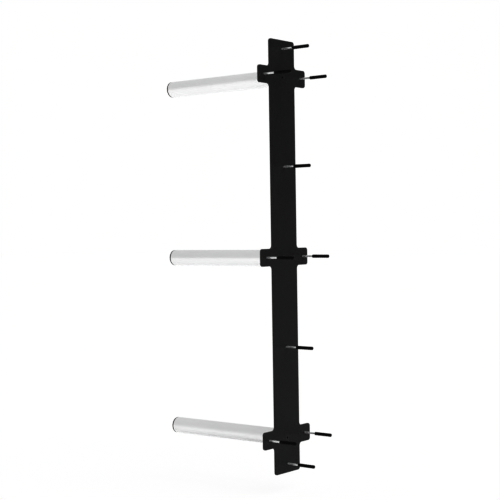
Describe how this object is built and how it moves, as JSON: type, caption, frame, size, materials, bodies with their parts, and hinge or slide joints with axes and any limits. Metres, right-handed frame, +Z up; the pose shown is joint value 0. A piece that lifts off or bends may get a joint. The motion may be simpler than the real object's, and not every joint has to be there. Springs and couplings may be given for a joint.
{
  "type": "wall storage rack",
  "caption": "Wall storage rack: a flat black steel plate with cross tabs carries bright tube arms on the room side, and coach screws in nylon plugs fix it to the wall.",
  "frame": {"origin": "on the plate's wall face, at the centre of the middle cross tab", "axes": "+Y into the wall, -Y along the arms into the room, +Z up, +X to the right as seen from the room"},
  "size_m": [0.2336, 0.5525, 1.32],
  "materials": {
    "plate_paint": "black powder coat, fine texture, low sheen",
    "arm_chrome": "bright satin plating with fine draw lines along the tube",
    "insert_steel": "turned, bare",
    "bolt_black_steel": "black oxide, lightly oiled",
    "cap_plastic": "moulded, fine grain",
    "fastener_zinc": "bright zinc plated",
    "plug_nylon": "moulded nylon, slightly waxy"
  },
  "bodies": {
    "rack": {"wall_plate": "plate_paint", "upper_arm_tube": "arm_chrome", "upper_arm_insert": "insert_steel", "upper_arm_bolt": "bolt_black_steel", "upper_arm_cap": "cap_plastic", "middle_arm_tube": "arm_chrome", "middle_arm_insert": "insert_steel", "middle_arm_bolt": "bolt_black_steel", "middle_arm_cap": "cap_plastic", "lower_arm_tube": "arm_chrome", "lower_arm_insert": "insert_steel", "lower_arm_bolt": "bolt_black_steel", "lower_arm_cap": "cap_plastic", "washer_top": "fastener_zinc", "washer_upper_middle": "fastener_zinc", "washer_lower_middle": "fastener_zinc", "washer_bottom": "fastener_zinc", "washer_upper_left": "fastener_zinc", "washer_upper_right": "fastener_zinc", "washer_middle_left": "fastener_zinc", "washer_middle_right": "fastener_zinc", "washer_lower_left": "fastener_zinc", "washer_lower_right": "fastener_zinc"},
    "screw_top": {"screw_top": "fastener_zinc"},
    "plug_top": {"wall_plug_top": "plug_nylon"},
    "screw_upper_middle": {"screw_upper_middle": "fastener_zinc"},
    "plug_upper_middle": {"wall_plug_upper_middle": "plug_nylon"},
    "screw_lower_middle": {"screw_lower_middle": "fastener_zinc"},
    "plug_lower_middle": {"wall_plug_lower_middle": "plug_nylon"},
    "screw_bottom": {"screw_bottom": "fastener_zinc"},
    "plug_bottom": {"wall_plug_bottom": "plug_nylon"},
    "screw_upper_left": {"screw_upper_left": "fastener_zinc"},
    "plug_upper_left": {"wall_plug_upper_left": "plug_nylon"},
    "screw_upper_right": {"screw_upper_right": "fastener_zinc"},
    "plug_upper_right": {"wall_plug_upper_right": "plug_nylon"},
    "screw_middle_left": {"screw_middle_left": "fastener_zinc"},
    "plug_middle_left": {"wall_plug_middle_left": "plug_nylon"},
    "screw_middle_right": {"screw_middle_right": "fastener_zinc"},
    "plug_middle_right": {"wall_plug_middle_right": "plug_nylon"},
    "screw_lower_left": {"screw_lower_left": "fastener_zinc"},
    "plug_lower_left": {"wall_plug_lower_left": "plug_nylon"},
    "screw_lower_right": {"screw_lower_right": "fastener_zinc"},
    "plug_lower_right": {"wall_plug_lower_right": "plug_nylon"}
  },
  "joints": [
    {"name": "screw_turn_top", "type": "hinge", "parent": "rack", "child": "screw_top", "pos_m": [0, 0, 0.633], "axis": [0, 1, 0], "range_deg": [0, 5497]},
    {"name": "plug_travel_top", "type": "slide", "parent": "rack", "child": "plug_top", "axis": [0, -1, 0], "range_m": [0, 0.0397]},
    {"name": "screw_turn_upper_middle", "type": "hinge", "parent": "rack", "child": "screw_upper_middle", "pos_m": [0, 0, 0.275], "axis": [0, 1, 0], "range_deg": [0, 5497]},
    {"name": "plug_travel_upper_middle", "type": "slide", "parent": "rack", "child": "plug_upper_middle", "axis": [0, -1, 0], "range_m": [0, 0.0397]},
    {"name": "screw_turn_lower_middle", "type": "hinge", "parent": "rack", "child": "screw_lower_middle", "pos_m": [0, 0, -0.275], "axis": [0, 1, 0], "range_deg": [0, 5497]},
    {"name": "plug_travel_lower_middle", "type": "slide", "parent": "rack", "child": "plug_lower_middle", "axis": [0, -1, 0], "range_m": [0, 0.0397]},
    {"name": "screw_turn_bottom", "type": "hinge", "parent": "rack", "child": "screw_bottom", "pos_m": [0, 0, -0.633], "axis": [0, 1, 0], "range_deg": [0, 5497]},
    {"name": "plug_travel_bottom", "type": "slide", "parent": "rack", "child": "plug_bottom", "axis": [0, -1, 0], "range_m": [0, 0.0397]},
    {"name": "screw_turn_upper_left", "type": "hinge", "parent": "rack", "child": "screw_upper_left", "pos_m": [-0.0905, 0, 0.55], "axis": [0, 1, 0], "range_deg": [0, 5497]},
    {"name": "plug_travel_upper_left", "type": "slide", "parent": "rack", "child": "plug_upper_left", "axis": [0, -1, 0], "range_m": [0, 0.0397]},
    {"name": "screw_turn_upper_right", "type": "hinge", "parent": "rack", "child": "screw_upper_right", "pos_m": [0.0905, 0, 0.55], "axis": [0, 1, 0], "range_deg": [0, 5497]},
    {"name": "plug_travel_upper_right", "type": "slide", "parent": "rack", "child": "plug_upper_right", "axis": [0, -1, 0], "range_m": [0, 0.0397]},
    {"name": "screw_turn_middle_left", "type": "hinge", "parent": "rack", "child": "screw_middle_left", "pos_m": [-0.0905, 0, 0], "axis": [0, 1, 0], "range_deg": [0, 5497]},
    {"name": "plug_travel_middle_left", "type": "slide", "parent": "rack", "child": "plug_middle_left", "axis": [0, -1, 0], "range_m": [0, 0.0397]},
    {"name": "screw_turn_middle_right", "type": "hinge", "parent": "rack", "child": "screw_middle_right", "pos_m": [0.0905, 0, 0], "axis": [0, 1, 0], "range_deg": [0, 5497]},
    {"name": "plug_travel_middle_right", "type": "slide", "parent": "rack", "child": "plug_middle_right", "axis": [0, -1, 0], "range_m": [0, 0.0397]},
    {"name": "screw_turn_lower_left", "type": "hinge", "parent": "rack", "child": "screw_lower_left", "pos_m": [-0.0905, 0, -0.55], "axis": [0, 1, 0], "range_deg": [0, 5497]},
    {"name": "plug_travel_lower_left", "type": "slide", "parent": "rack", "child": "plug_lower_left", "axis": [0, -1, 0], "range_m": [0, 0.0397]},
    {"name": "screw_turn_lower_right", "type": "hinge", "parent": "rack", "child": "screw_lower_right", "pos_m": [0.0905, 0, -0.55], "axis": [0, 1, 0], "range_deg": [0, 5497]},
    {"name": "plug_travel_lower_right", "type": "slide", "parent": "rack", "child": "plug_lower_right", "axis": [0, -1, 0], "range_m": [0, 0.0397]}
  ],
  "couplings": [
    {"joint": "screw_turn_top", "follows": "plug_travel_top", "rad_per_m": 2416.6},
    {"joint": "screw_turn_upper_middle", "follows": "plug_travel_upper_middle", "rad_per_m": 2416.6},
    {"joint": "screw_turn_lower_middle", "follows": "plug_travel_lower_middle", "rad_per_m": 2416.6},
    {"joint": "screw_turn_bottom", "follows": "plug_travel_bottom", "rad_per_m": 2416.6},
    {"joint": "screw_turn_upper_left", "follows": "plug_travel_upper_left", "rad_per_m": 2416.6},
    {"joint": "screw_turn_upper_right", "follows": "plug_travel_upper_right", "rad_per_m": 2416.6},
    {"joint": "screw_turn_middle_left", "follows": "plug_travel_middle_left", "rad_per_m": 2416.6},
    {"joint": "screw_turn_middle_right", "follows": "plug_travel_middle_right", "rad_per_m": 2416.6},
    {"joint": "screw_turn_lower_left", "follows": "plug_travel_lower_left", "rad_per_m": 2416.6},
    {"joint": "screw_turn_lower_right", "follows": "plug_travel_lower_right", "rad_per_m": 2416.6}
  ]
}
